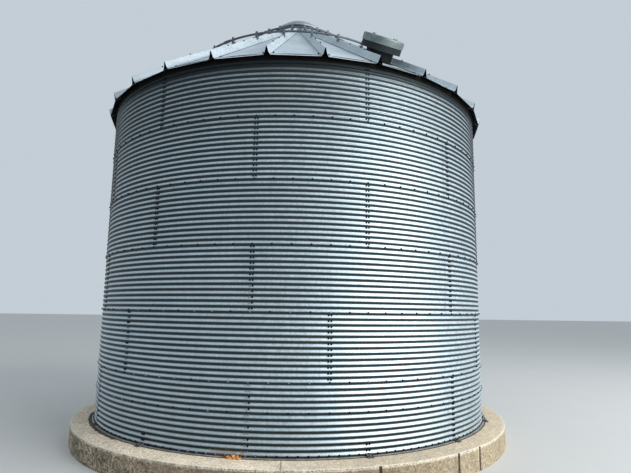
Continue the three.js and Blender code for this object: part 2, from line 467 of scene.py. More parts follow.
wallPaint = {
    "bright": rgb(0.56, 0.66, 0.70),
    "washed": rgb(0.46, 0.555, 0.615),
    # colours of the painted shade on the flanks, and of its painted green reflection of the ground
    "dark": rgb(0.012, 0.022, 0.027),
    "groundReflectionTint": rgb(0.022, 0.028, 0.022),
    "spangle": 42.0,  # zinc crystals to a metre
    "wideStreaks": {"Across": 5.0, "Down": 0.5},
    "fineStreaks": {"Across": 34.0, "Down": 1.6, "Low": 0.42, "High": 0.68},
    "wideShare": 0.35,  # how far each kind of streak goes towards the washed colour
    "fineShare": 0.55,
    "crystalShades": (0.93, 1.05),  # darkest and brightest crystal
    "leftToRight": (-0.6, 2.4),  # x between which the more shaded left side turns into the brighter right one
    "flankShade": 0.97,
    "flankShadeEdge": 0.13,  # how far up a face may look and still take the painted shade
    "flankShadeBorder": {"Softness": 0.40, "Wander": 0.14},
    "crestShade": 0.20,
    # painted shade at the foot and under the eave: heights, and the share of its brightness that the wall
    # keeps at each
    "shades": (
        (rowDatum, rowDatum + 1.2, 0.84, 1.0),
        (roofLow.z - 1.5, roofLow.z - 0.15, 1.0, 0.72),
        (roofLow.z - 0.20, roofLow.z - 0.05, 1.0, 0.07),
    ),
    "greenReflectionScale": (0.5, 0.5, 0.9),
    "greenReflectionTurn": (0.5, 0.7),  # noise values between which the painted shade turns from dark to a green painted reflection of the ground
    "rust": rgb(0.15, 0.10, 0.055),
    "rustShare": 0.5,
    "rustPatch": {
        "Centre": polar(silo["wallRadius"], boltAzimuth(-0.9), padHigh.z + 0.03),
        "Size": (0.34, 0.12, 0.075),
        "Grain": 14.0,
    },
    "rough": (0.42, 0.56),
    "metal": 0.75,
    "relief": (0.05, 0.002),  # strength and depth
}


def makeWallSteel():
    material, tree, shader = newMaterial("weatheredWallSheet")
    spangle = useGroup(tree, spangleGroup, {"Vector": objectPlace(tree), "Grain": wallPaint["spangle"]})
    across, _, height = objectAxes(tree)
    # painted shade on the down-facing flank of each wave, wider on the left
    shadedLeft = mathNode(tree, "SUBTRACT", 1.0, spread(tree, across, *wallPaint["leftToRight"]))
    turns = times(tree, mathNode(tree, "SUBTRACT", height, rowDatum), math.tau / wave)
    crest = times(tree, mathNode(tree, "COSINE", turns), wallPaint["crestShade"])
    border = {"Edge": times(tree, shadedLeft, wallPaint["flankShadeEdge"]), "Crest": times(tree, crest, shadedLeft)}
    flankShade = useGroup(tree, downFacingShadeGroup, border | wallPaint["flankShadeBorder"])["Mask"]
    # washed zinc, a tone for each sheet, and shade at the foot and under the eave
    fine = useGroup(tree, streakGroup, wallPaint["fineStreaks"])["Mask"]
    wide = useGroup(tree, streakGroup, wallPaint["wideStreaks"])["Mask"]
    zinc, washed = wallPaint["bright"], wallPaint["washed"]
    zinc = blendColour(tree, times(tree, fine, wallPaint["fineShare"]), zinc, washed)
    zinc = blendColour(tree, times(tree, wide, wallPaint["wideShare"]), zinc, washed)
    tone = put(tree, "Attribute", attribute_name="sheetTone").outputs["Fac"]
    crystal = spread(tree, spangle["Crystal"], 0.0, 1.0, *wallPaint["crystalShades"])
    shade = times(tree, crystal, tone)
    for low, high, atLow, atHigh in wallPaint["shades"]:
        shade = times(tree, shade, spread(tree, height, low, high, atLow, atHigh))
    # the colour of the painted shade, with a painted green reflection of the ground in patches
    patches = noise(tree, objectPlace(tree, wallPaint["greenReflectionScale"]), scale=1.0, detail=3.0)
    greenReflection = spread(tree, patches, *wallPaint["greenReflectionTurn"])
    shadeColour = blendColour(tree, greenReflection, wallPaint["dark"], wallPaint["groundReflectionTint"])
    # painted shade laid over the zinc on the down-facing flanks
    colour = blendColour(tree, times(tree, flankShade, wallPaint["flankShade"]), shadeBy(tree, zinc, shade), shadeColour)
    rust = useGroup(tree, patchGroup, wallPaint["rustPatch"])["Mask"]
    rust = times(tree, rust, wallPaint["rustShare"])
    paint(
        tree, shader, colour=blendColour(tree, rust, colour, wallPaint["rust"]),
        rough=spread(tree, spangle["Crystal"], 0.0, 1.0, *wallPaint["rough"]),
        metal=times(tree, mathNode(tree, "SUBTRACT", 1.0, rust), wallPaint["metal"]),
        normal=bump(tree, spangle["Relief"], *wallPaint["relief"]),
    )
    return material


roofPaint = {
    "bright": rgb(0.56, 0.64, 0.685),
    "washed": rgb(0.46, 0.535, 0.58),
    "spangle": 38.0,
    "leftSide": (-3.2, -1.0),  # x between which the left side turns brighter
    "leftShade": 0.66,  # painted shade: how much of its brightness the left side keeps
    "wornTurn": (0.35, 0.7),  # noise values between which bright gives way to washed
    "wornShare": 0.8,
    "crystalShades": (0.93, 1.04),
    "rough": (0.50, 0.62),
    "metal": 0.62,
    "relief": (0.06, 0.004),
}


def makeRoofSteel():
    material, tree, shader = newMaterial("weatheredRoofSheet")
    spangle = {"Vector": objectPlace(tree), "Grain": roofPaint["spangle"]}
    crystal = useGroup(tree, spangleGroup, spangle)["Crystal"]
    cloud = noise(tree, objectPlace(tree), scale=2.2, detail=6.0, roughness=0.6)
    worn = spread(tree, cloud, *roofPaint["wornTurn"], 0.0, roofPaint["wornShare"])
    zinc = blendColour(tree, worn, roofPaint["bright"], roofPaint["washed"])
    leftShade = spread(tree, objectAxes(tree)[0], *roofPaint["leftSide"], roofPaint["leftShade"], 1.0)
    shade = times(tree, spread(tree, crystal, 0.0, 1.0, *roofPaint["crystalShades"]), leftShade)
    ripple = noise(tree, objectPlace(tree), scale=24.0, detail=4.0)
    paint(
        tree, shader, colour=shadeBy(tree, zinc, shade), metal=roofPaint["metal"],
        rough=spread(tree, crystal, 0.0, 1.0, *roofPaint["rough"]),
        normal=bump(tree, ripple, *roofPaint["relief"]),
    )
    return material


# Noise values between which one look gives way to the other, and the depth of the relief
dullSteel = {"wornTurn": (0.4, 0.66), "roughTurn": (0.3, 0.7), "reliefDepth": 0.003}


# Dull, grimy steel and other small finishes: painted shade under the roof, along the rib feet, at the eave
# and in the vent, and hoops, bolts, foam, cracks
def makeDullSteel(name, colour, worn, grain=18.0, rough=(0.55, 0.75), metal=0.5, relief=0.12, gloss=0.5):
    material, tree, shader = newMaterial(name)
    shader.inputs["Specular IOR Level"].default_value = gloss
    cloud = noise(tree, objectPlace(tree), grain, detail=6.0, roughness=0.65)
    mask = spread(tree, cloud, *dullSteel["wornTurn"])
    paint(
        tree, shader, colour=blendColour(tree, mask, colour, worn), metal=metal,
        rough=spread(tree, cloud, *dullSteel["roughTurn"], *rough),
        normal=bump(tree, cloud, relief, dullSteel["reliefDepth"]),
    )
    return material


concretePaint = {
    # painted light and shade: the side tones are darker than the top and change from left to right with how
    # the light falls
    "top": rgb(0.92, 0.79, 0.60),
    "topRight": rgb(0.70, 0.58, 0.415),
    "topDark": rgb(0.52, 0.45, 0.345),
    "sideLeft": rgb(0.40, 0.32, 0.215),
    "side": rgb(0.235, 0.17, 0.10),
    "sideRight": rgb(0.42, 0.345, 0.225),
    "sideDark": rgb(0.19, 0.16, 0.12),
    "chipped": rgb(0.80, 0.74, 0.62),
    "damp": rgb(0.20, 0.17, 0.12),
    # x between which one tone gives way to the next
    "topTurn": (-0.8, 1.2),
    "topLeftTurn": (-3.4, -1.6),
    "sideTurn": (-2.6, -0.4),
    "sideRightTurn": (0.2, 2.6),
    "topLeftShare": 0.35,
    "sideRightShare": 0.8,
    "grain": {"Grain": 48.0, "Blotch": 3.0},
    "blotchTurn": (0.35, 0.68),
    "blotchShare": 0.5,  # of the dark tone in the blotches of the top
    "lipTurn": (0.35, 0.75),  # how far a face looks up where the side's painted shade gives way to the top
    # brightness of dark and light grains, and contrast of stones, on the left and elsewhere
    "darkGrains": (0.55, 0.78),
    "lightGrains": (1.3, 1.14),
    "speckleTurn": (0.38, 0.60),
    "stones": (0.8, 0.35),
    "stonesOnTop": 0.16,
    "stoneTurn": (0.3, 0.7),
    "dampStreaks": {"Across": 6.0, "Down": 1.5, "Low": 0.5, "High": 0.75},
    "topCrack": {
        "Centre": polar(3.42, math.radians(-1.8), padHigh.z), "Size": (0.011, 0.30, 0.1), "Grain": 60.0,
    },
    "chippedRim": (0.045, 0.012),  # distances in from the rim
    "chippedEdge": (0.055, 0.035),  # distances down from the top
    "chipTurn": (0.4, 0.55),
    "chipShare": 0.7,
    "dampTurn": (0.2, 0.6),
    "dampShare": 0.6,
    "crackShare": 0.7,
    "pitDepth": 0.6,  # of a pit, as a share of the sand's relief
    "rough": 0.92,
    "relief": (0.8, 0.006),
}


def makeConcrete():
    material, tree, shader = newMaterial("castConcrete")
    tones = concretePaint
    grain = useGroup(tree, concreteGroup, tones["grain"])
    across, _, height = objectAxes(tree)
    facing = facingUp(tree)
    blotchy = spread(tree, grain["Blotch"], *tones["blotchTurn"])
    top = blendColour(tree, spread(tree, across, *tones["topTurn"]), tones["top"], tones["topRight"])
    top = blendColour(tree, times(tree, blotchy, tones["blotchShare"]), top, tones["topDark"])
    left = spread(tree, across, *tones["topLeftTurn"], tones["topLeftShare"], 0.0)
    top = blendColour(tree, left, top, tones["topDark"])
    # painted shade on the side, lit towards the right
    fromSide = spread(tree, across, *tones["sideTurn"])
    side = blendColour(tree, fromSide, tones["sideLeft"], tones["side"])
    side = blendColour(tree, blotchy, side, tones["sideDark"])
    right = spread(tree, across, *tones["sideRightTurn"], 0.0, tones["sideRightShare"])
    side = blendColour(tree, right, side, tones["sideRight"])
    colour = blendColour(tree, spread(tree, facing, *tones["lipTurn"]), side, top)
    # dark and light grains, rougher on the left
    dark = spread(tree, fromSide, 0.0, 1.0, *tones["darkGrains"])
    light = spread(tree, fromSide, 0.0, 1.0, *tones["lightGrains"])
    onSide = spread(tree, fromSide, 0.0, 1.0, *tones["stones"])
    rugged = spread(tree, facing, *tones["stoneTurn"], onSide, tones["stonesOnTop"])
    cells = times(tree, mathNode(tree, "SUBTRACT", grain["Stones"], 0.5), 2.0)
    stones = mathNode(tree, "ADD", 1.0, times(tree, cells, rugged))
    speckle = spread(tree, grain["Sand"], *tones["speckleTurn"], dark, light)
    colour = shadeBy(tree, colour, times(tree, speckle, stones))
    # chipped rim
    level = vectorMath(tree, "MULTIPLY", objectPlace(tree), (1, 1, 0))[0]
    radius = vectorMath(tree, "LENGTH", level)["Value"]
    nearRim = spread(tree, radius, *(padHigh.x - inward for inward in tones["chippedRim"]))
    upper = spread(tree, height, *(padHigh.z - down for down in tones["chippedEdge"]))
    worn = times(tree, times(tree, nearRim, upper), spread(tree, grain["Sand"], *tones["chipTurn"]))
    colour = blendColour(tree, times(tree, worn, tones["chipShare"]), colour, tones["chipped"])
    # damp on the side, and a crack across the top
    damp = useGroup(tree, streakGroup, tones["dampStreaks"])["Mask"]
    damp = times(tree, damp, spread(tree, facing, *tones["dampTurn"], tones["dampShare"], 0.0))
    colour = blendColour(tree, damp, colour, tones["damp"])
    crack = useGroup(tree, patchGroup, tones["topCrack"])["Mask"]
    colour = blendColour(tree, times(tree, crack, tones["crackShare"]), colour, tones["damp"])
    relief = mathNode(tree, "ADD", grain["Sand"], times(tree, grain["Pits"], tones["pitDepth"]))
    paint(tree, shader, colour=colour, rough=tones["rough"], normal=bump(tree, relief, *tones["relief"]))
    return material


wallSteel = makeWallSteel()
roofSteel = makeRoofSteel()
concrete = makeConcrete()
# painted shadow line along the foot of each rib
ribFootShadow = makeDullSteel(
    "ribFootShadow", rgb(0.10, 0.115, 0.125), rgb(0.17, 0.19, 0.20), grain=8.0, rough=(0.6, 0.8), metal=0.3,
)
# near-black painted shade for the underside of the roof sheets
underRoofShade = makeDullSteel(
    "roofUndersidePaintedShade", rgb(0.005, 0.007, 0.009), rgb(0.010, 0.012, 0.012), grain=6.0, gloss=0.2,
)
trimSteel = makeDullSteel(
    "dullTrim", rgb(0.29, 0.285, 0.26), rgb(0.40, 0.39, 0.35), grain=14.0, rough=(0.5, 0.7), metal=0.4,
)
anchorSteel = makeDullSteel(
    "anchorIron", rgb(0.085, 0.085, 0.078), rgb(0.20, 0.20, 0.185), grain=26.0, rough=(0.6, 0.8), metal=0.4,
)
hoopSteel = makeDullSteel(
    "hoopPipe", rgb(0.075, 0.095, 0.115), rgb(0.13, 0.155, 0.175), grain=9.0, rough=(0.45, 0.6), metal=0.6,
)
bracketSteel = makeDullSteel(
    "bracketZinc", rgb(0.12, 0.14, 0.155), rgb(0.09, 0.10, 0.115), grain=30.0, rough=(0.5, 0.7),
)
boltBlack = makeDullSteel(
    "boltBlack", rgb(0.003, 0.005, 0.007), rgb(0.008, 0.01, 0.012), grain=60.0, rough=(0.6, 0.8),
    metal=0.2, gloss=0.15,
)
boltBright = makeDullSteel(
    "boltZinc", rgb(0.27, 0.31, 0.33), rgb(0.18, 0.21, 0.23), grain=60.0, rough=(0.4, 0.6), metal=0.7,
)
boltRusty = makeDullSteel(
    "boltRust", rgb(0.10, 0.035, 0.022), rgb(0.16, 0.07, 0.035), grain=60.0, rough=(0.8, 0.9), metal=0.1,
)
lidSteel = makeDullSteel(
    "lidZinc", rgb(0.34, 0.385, 0.405), rgb(0.25, 0.285, 0.30), grain=5.0, rough=(0.4, 0.55),
    metal=0.7, relief=0.05,
)
collarSteel = makeDullSteel(
    "collarZinc", rgb(0.20, 0.225, 0.24), rgb(0.30, 0.33, 0.35), grain=12.0, rough=(0.5, 0.65), metal=0.6,
)
ventSteel = makeDullSteel(
    "ventZinc", rgb(0.20, 0.24, 0.235), rgb(0.14, 0.175, 0.17), grain=8.0, rough=(0.4, 0.55),
    metal=0.6, relief=0.04,
)
# painted shade on the vent's skirt, under its cap
ventSkirtShade = makeDullSteel(
    "ventSkirtShade", rgb(0.018, 0.023, 0.026), rgb(0.030, 0.036, 0.038), grain=7.0, rough=(0.55, 0.7),
    metal=0.2, relief=0.04, gloss=0.15,
)
# near-black painted shadow in the vent's neck under the hood
neckShadow = makeDullSteel(
    "ventNeckShadow", rgb(0.004, 0.006, 0.008), rgb(0.008, 0.010, 0.012), grain=10.0, rough=(0.5, 0.65),
    metal=0.2, relief=0.05, gloss=0.2,
)
# near-black painted shadow under the eave
eaveShadowPaint = makeDullSteel(
    "eaveShadowStrip", rgb(0.004, 0.004, 0.004), rgb(0.012, 0.010, 0.008), grain=9.0, rough=(0.8, 0.95),
    metal=0.0, relief=0.2, gloss=0.1,
)
rustedFlange = makeDullSteel(
    "rustedFlange", rgb(0.45, 0.17, 0.035), rgb(0.16, 0.055, 0.02), grain=30.0, rough=(0.85, 0.95),
    metal=0.0, relief=0.5,
)
foam = makeDullSteel(
    "seamFoam", rgb(0.38, 0.15, 0.035), rgb(0.80, 0.44, 0.16), grain=34.0, rough=(0.85, 0.95),
    metal=0.0, relief=0.5, gloss=0.2,
)
sealant = makeDullSteel(
    "footSealant", rgb(0.030, 0.025, 0.022), rgb(0.10, 0.082, 0.066), grain=22.0, rough=(0.8, 0.95),
    metal=0.0, relief=0.5,
)
crackDark = makeDullSteel(
    "padCrack", rgb(0.05, 0.035, 0.02), rgb(0.11, 0.08, 0.05), grain=12.0, rough=(0.9, 0.95),
    metal=0.0, relief=0.4,
)
print("materials ready")


# Wall: one corrugated sheet, rolled once and copied round and up

wallSheet = {
    "stepsPerWave": 10,
    "stepsPerBolt": 2,
    "skirtSteps": 3,  # how far a sheet laps down over the one below
    "sideLap": 0.040,
    "lean": 0.0017,  # the foot of a sheet stands out over the one below, its top goes under
    "drift": 0.0010,  # one side of a sheet stands out over its neighbour
    "steel": 0.0013,
    "tones": (0.93, 1.05),  # darkest and brightest sheet
}


def rollWallSheet():
    step = wave / wallSheet["stepsPerWave"]
    rows = silo["wavesPerRing"] * wallSheet["stepsPerWave"]
    turn = sheetTurn + 2 * wallSheet["sideLap"] / silo["wallRadius"]
    profile = []
    for row in range(-wallSheet["skirtSteps"], rows + 1):
        crest = math.cos(math.tau * row / wallSheet["stepsPerWave"]) * silo["waveDepth"] / 2
        lean = wallSheet["lean"] * (1 - 2 * row / rows)
        profile.append(polar(silo["wallRadius"] + wallSheet["drift"] + lean + crest, 0, row * step))
    sheet = startPiece("wallSheet")
    drawChain(profile)
    selectAll()
    offset = wallSheet["drift"] / math.sin(turn / 2)
    centre = (-offset * math.cos(turn / 2), -offset * math.sin(turn / 2), 0)
    spin(silo["boltsPerSheet"] * wallSheet["stepsPerBolt"] + 1, turn, centre)
    selectAll()
    if bmesh.from_edit_mesh(sheet.data).faces[:][0].normal.dot(polar(1, turn / 2, 0)) < 0:
        bpy.ops.mesh.flip_normals()
    objectMode()
    dress(sheet, wallSteel)
    thicken(sheet, wallSheet["steel"], offset=-1)
    smooth(sheet, degrees=50)
    return sheet


def buildWall():
    sheet = rollWallSheet()
    lapTurn = wallSheet["sideLap"] / silo["wallRadius"]
    for ring in range(silo["rings"]):
        number = 0
        for count in silo["sheetsPerPiece"]:
            sheets = []
            for _ in range(count):
                seam = silo["ringSeams"][ring] + number * silo["boltsPerSheet"]
                twin = copyPiece(sheet, boltAzimuth(seam) - lapTurn, rowDatum + ring * silo["ringHeight"])
                tone = random.uniform(*wallSheet["tones"])
                layer = twin.data.attributes.new("sheetTone", "FLOAT", "POINT")
                layer.data.foreach_set("value", [tone] * len(twin.data.vertices))
                sheets.append(twin)
                number += 1
            label = f"sheets_{number - 1}_{number}" if count > 1 else f"sheet_{number}"
            piece = joinPieces(sheets, f"corrugated_ring_{ring + 1}_{label}")
            finishPiece(piece, "wall_steel", f"wall_ring_{ring + 1}_{label}")
    bpy.data.objects.remove(sheet)
    print("wall: rings and sheets in place")


# Bolts: a hexagon head on a round washer

bolt = {
    "washerRadius": 0.0128,
    "washerDepth": 0.0042,
    "washerSides": 10,
    "washerTaper": 0.86,  # front of the washer, as a share of its back
    "headRadius": 0.0088,
    "headDepth": 0.008,
    "headSides": 6,
    "headBevel": 0.0018,
    "headCrown": 0.6,  # how far the head's face stands out, as a share of its bevel
}


def looksForward(face):
    return face.normal.y < -0.9


def looksUp(face):
    return face.normal.z > 0.9


# A bolt at azimuth 0 that looks along -Y, its washer's back at the radius given
def makeBolt(radius, height=0.0, size=1.0):
    alongY = (math.pi / 2, 0, 0)
    depth, headDepth = bolt["washerDepth"] * size, bolt["headDepth"] * size
    centre = (0, -radius - depth / 2, height)
    washer = addCylinder(bolt["washerSides"], bolt["washerRadius"] * size, depth, centre, alongY)
    editMode()
    choose("FACE", looksForward)
    bpy.ops.transform.resize(value=(bolt["washerTaper"], 1, bolt["washerTaper"]))
    objectMode()
    centre = (0, -radius - depth - headDepth / 2, height)
    head = addCylinder(bolt["headSides"], bolt["headRadius"] * size, headDepth, centre, alongY)
    editMode()
    choose("FACE", looksForward)
    bevel = bolt["headBevel"] * size
    bpy.ops.mesh.inset(thickness=bevel, depth=bevel * bolt["headCrown"])
    objectMode()
    return joinPieces([washer, head], "bolt")


boltRows = {
    "crest": 0.0088,  # outside of the steel on a crest, past the middle of the waves
    "valley": -0.0056,
    "seamHalf": 0.0175,  # half the distance between the two columns of a seam
    "floorRow": 0.471,  # an extra row, above the lowest one
    "topDrop": 0.004,  # the uppermost row, below the top of the wall
}
seamRadius = silo["wallRadius"] + boltRows["valley"] + (wallSheet["lean"] + wallSheet["drift"])
seamHalfTurn = boltRows["seamHalf"] / silo["wallRadius"]


def rowOfBolts(height, count):
    row = makeBolt(silo["wallRadius"] + boltRows["crest"], height)
    turnTo(row, boltAzimuth(0))
    arrayRound(row, count, math.tau / count)
    return row


def pairsAboveFeet():
    pairs = []
    for side in (-1, 1):
        for step in range(2):
            single = makeBolt(seamRadius, wave * (step + 0.5))
            turn = boltAzimuth(silo["boltsPerSheet"] / 2) + side * seamHalfTurn
            pairs.append(copyPiece(single, turn, rowDatum))
            bpy.data.objects.remove(single)
    group = joinPieces(pairs, "pairs")
    arrayRound(group, silo["sheetsPerRing"], sheetTurn)
    return group


def seamsOfBolts(ring):
    column = makeBolt(seamRadius, wave / 2)
    drop = 2 * wallSheet["lean"] / silo["wavesPerRing"]
    applyModifier(
        column, "ARRAY", count=silo["wavesPerRing"], use_relative_offset=False,
        use_constant_offset=True, constant_offset_displace=(0, drop, wave),
    )
    pair = [copyPiece(column, -seamHalfTurn), copyPiece(column, seamHalfTurn)]
    bpy.data.objects.remove(column)
    seams = joinPieces(pair, "seams")
    turnTo(seams, boltAzimuth(silo["ringSeams"][ring]), rowDatum + ring * silo["ringHeight"])
    arrayRound(seams, silo["sheetsPerRing"], sheetTurn)
    return seams


def buildBolts():
    for ring in range(silo["rings"]):
        base = rowDatum + ring * silo["ringHeight"]
        parts = [seamsOfBolts(ring), rowOfBolts(base, perRow * (2 if ring == 0 else 1))]
        if ring == 0:
            parts.append(rowOfBolts(rowDatum + boltRows["floorRow"], perRow))
            parts.append(pairsAboveFeet())
        if ring == silo["rings"] - 1:
            parts.append(rowOfBolts(base + silo["ringHeight"] - boltRows["topDrop"], perRow))
        bolts = joinPieces(parts, f"bolts_ring_{ring + 1}")
        dress(bolts, boltBlack, boltBright, boltRusty)
        finishPiece(bolts, "trim_steel")
        ageBolts(bolts, ring, base)
        smooth(bolts, degrees=30)
    print("wall: bolts in place")


# Bolt numbers and waves at which the finish changes: most bolts are black, some were replaced
boltAges = {
    "inView": (-15, 19),
    "brightInRow": {0: (-3, -2, -1, 0), 2: (-9, -7, -5, -3, -2, 0, 2, 4)},
    "darkInRow": {1: (-11, -9, -8, -3, 4, 5, 7, 8, 9, 11, 12, 13, 15, 17)},
    "brightOnFloorRow": (-15, -14, -13, -12, -11, -10, -9, -8, -2),
    # ring, seam: waves with a dark bolt in the left and in the right column
    "darkInSeam": {
        (0, 0): ((), (1, 2, 4, 7, 8, 9)),
        (0, -12): ((1, 2), (1, 2)),
        (1, -8): ((0, 1, 5, 9, 11), (0, 1, 3, 5, 7, 9, 10, 11)),
        (2, 0): ((0, 5, 6, 7, 8, 9, 10, 11), range(12)),
    },
    "rustySeam": (5, -6),
    "hiddenShare": 0.2,  # share of bright bolts on the side away from the picture
    "hiddenRings": 3,  # how many rings from the ground have them
    "rowReach": 0.018,  # how far the faces of a row's bolts lie from it
    "columnReach": 0.03,  # how far a bolt's faces lie from its number
}


# Index of a bolt's material: 0 black, 1 bright, 2 rusty
def boltAge(ring, number, height, draw):
    nearest = round(number)
    if not boltAges["inView"][0] <= nearest <= boltAges["inView"][1]:
        return int(ring < boltAges["hiddenRings"] and draw < boltAges["hiddenShare"])
    if abs(height) < boltAges["rowReach"]:
        if ring in boltAges["darkInRow"]:
            return int(nearest not in boltAges["darkInRow"][ring])
        return int(nearest in boltAges["brightInRow"].get(ring, ()))
    onFloorRow = ring == 0 and abs(height - boltRows["floorRow"]) < boltAges["rowReach"]
    if onFloorRow and (nearest % silo["boltsPerSheet"] or abs(number - nearest) < boltAges["columnReach"]):
        return int(nearest in boltAges["brightOnFloorRow"])
    step = math.floor(height / wave)
    if (ring, nearest) == boltAges["rustySeam"]:
        return 2 if step == silo["wavesPerRing"] - 1 else 0
    columns = boltAges["darkInSeam"].get((ring, nearest))
    return int(columns is not None and step not in columns[number > nearest])


def ageBolts(bolts, ring, base):
    draws = {}
    for face in bolts.data.polygons:
        number = math.radians(azimuthOf(face.center)) / boltTurn + silo["firstBolt"]
        height = face.center.z - base
        spot = (round(number), math.floor(height / wave + 0.25))
        if spot not in draws:
            draws[spot] = random.random()
        face.material_index = boltAge(ring, number, height, draws[spot])


# Foot of the wall: flange of the base angle, sealant and anchor feet

foot = {
    "lift": 0.0015,  # of the flange and the feet above the pad
    "flangeOutside": 3.240,
    "flangeInside": 3.186,
    "flangeSteel": 0.006,
    "flangeRound": 0.002,
    "flangeFillet": 0.004,
    "flangeSteps": 252,
    "rusted": (-14.6, -9.6),  # azimuths in degrees
    "leg": 0.060,
    "sealantBack": 0.012,  # how far the sealant starts under the flange
    "sealantReach": 0.022,
    "sealantHeight": 0.012,
    "sealantSteps": 504,
    "sealantThick": (-78, -44),  # azimuths in degrees
    "sealantSwell": (1.5, 0.3),  # on the thick stretch and elsewhere
    "sealantLumps": (0.7, 0.6),  # least share of the swell, and what chance adds
    "sealantWidth": 1.1,
}


def buildFlange():
    inside, outside, steel = foot["flangeInside"], foot["flangeOutside"], foot["flangeSteel"]
    edge, fillet = foot["flangeRound"], foot["flangeFillet"]
    low = padHigh.z + foot["lift"]
    top, legTop = low + steel, low + foot["leg"]
    profile = [
        (inside, low), (outside - edge, low), (outside, low + edge), (outside, top - edge / 2),
        (outside - edge, top), (inside + steel + fillet, top), (inside + steel, top + fillet),
        (inside + steel, legTop), (inside, legTop), (inside, low),
    ]
    flange = turnPiece("base_flange", profile, foot["flangeSteps"])
    smooth(flange)
    dress(flange, trimSteel, rustedFlange)
    finishPiece(flange, "trim_steel", "base_angle")
    start, end = foot["rusted"]
    repaint(flange, 1, lambda at: start < azimuthOf(at) < end)


def buildSealant():
    start = foot["flangeOutside"] - foot["sealantBack"]
    low = padHigh.z
    reach, height = foot["sealantReach"], foot["sealantHeight"]
    profile = [
        (start, low), (start + reach, low - 0.001), (start + reach * 0.9, low + height * 0.25),
        (start + reach * 0.6, low + height * 0.5), (start + 0.006, low + height * 0.45), (start, low),
    ]
    bead = turnPiece("foot_sealant", profile, foot["sealantSteps"])
    editMode()
    # thick and lumpy on the left, thin elsewhere
    thickFrom, thickTo = foot["sealantThick"]
    thick, thin = foot["sealantSwell"]
    least, more = foot["sealantLumps"]
    cage = bmesh.from_edit_mesh(bead.data)
    for vert in cage.verts:
        swell = thick if thickFrom < azimuthOf(vert.co) < thickTo else thin
        swell *= least + more * random.random()
        out = Vector((vert.co.x, vert.co.y, 0))
        grow = max(0.0, out.length - start) * swell * foot["sealantWidth"]
        vert.co += out.normalized() * grow
        vert.co.z = low + (vert.co.z - low) * (0.5 + swell)
    bmesh.update_edit_mesh(bead.data)
    objectMode()
    smooth(bead, degrees=60)
    dress(bead, sealant)
    finishPiece(bead, "trim_steel")


# A lump of foam that has run out of the foot of the wall onto the pad
foamLump = {
    "from": -13.0,  # azimuths in degrees
    "to": -9.9,
    "blobs": 26,
    "radius": 3.243,
    "spread": 0.030,
    "size": (0.008, 0.017),
    "flatness": (1.1, 0.9, 0.8),
    "rises": 3.255,  # radius inside which the blobs climb the flange
    "climb": 0.9,
    "sizes": (0.75, 0.5),  # share of the size at the ends, and what the middle adds
    "scatter": (-0.4, 1.0),
    "lifts": (0.2, 0.9),
    "grain": 0.0045,
}


def buildFoam():
    blobs = []
    atEnds, inMiddle = foamLump["sizes"]
    for number in range(foamLump["blobs"]):
        share = (number + 0.5) / foamLump["blobs"]
        azimuth = math.radians(foamLump["from"] + (foamLump["to"] - foamLump["from"]) * share)
        size = random.uniform(*foamLump["size"]) * (atEnds + inMiddle * math.sin(math.pi * share))
        radius = foamLump["radius"] + random.uniform(*foamLump["scatter"]) * foamLump["spread"]
        climb = max(0.0, foamLump["rises"] - radius) * foamLump["climb"]
        lift = random.uniform(*foamLump["lifts"]) * size + climb
        centre = polar(radius, azimuth, padHigh.z + lift)
        takeUp()
        bpy.ops.mesh.primitive_ico_sphere_add(
            subdivisions=2, radius=size, location=centre, scale=foamLump["flatness"]
        )
        blobs.append(applyPlace())
    lump = joinPieces(blobs, "foam_lump")
    applyModifier(lump, "REMESH", mode="VOXEL", voxel_size=foamLump["grain"])
    displace(lump, "foamFroth", grain=0.018, strength=0.009)
    smooth(lump, degrees=60)
    dress(lump, foam)
    finishPiece(lump, "trim_steel")


anchor = {
    "spacing": 6,  # bolts from one to the next
    "reach": 3.295,
    "width": 0.075,
    "height": 0.030,
    "plate": 0.008,
    "wallGap": 0.003,
    "gusset": 0.008,
    "gussetBack": 0.012,  # from the front of the sole to the gussets
    "gussetNose": 0.006,  # height of their front ends
    "nutSides": 6,
    "nutRadius": 0.017,
    "nutDepth": 0.014,
    "boltInset": 0.008,  # what the bolt is narrower than its nut, all round
    "boltEnd": 0.016,
    "edge": 0.0012,
    "sharp": 40,  # degrees between faces whose edge is bevelled
}


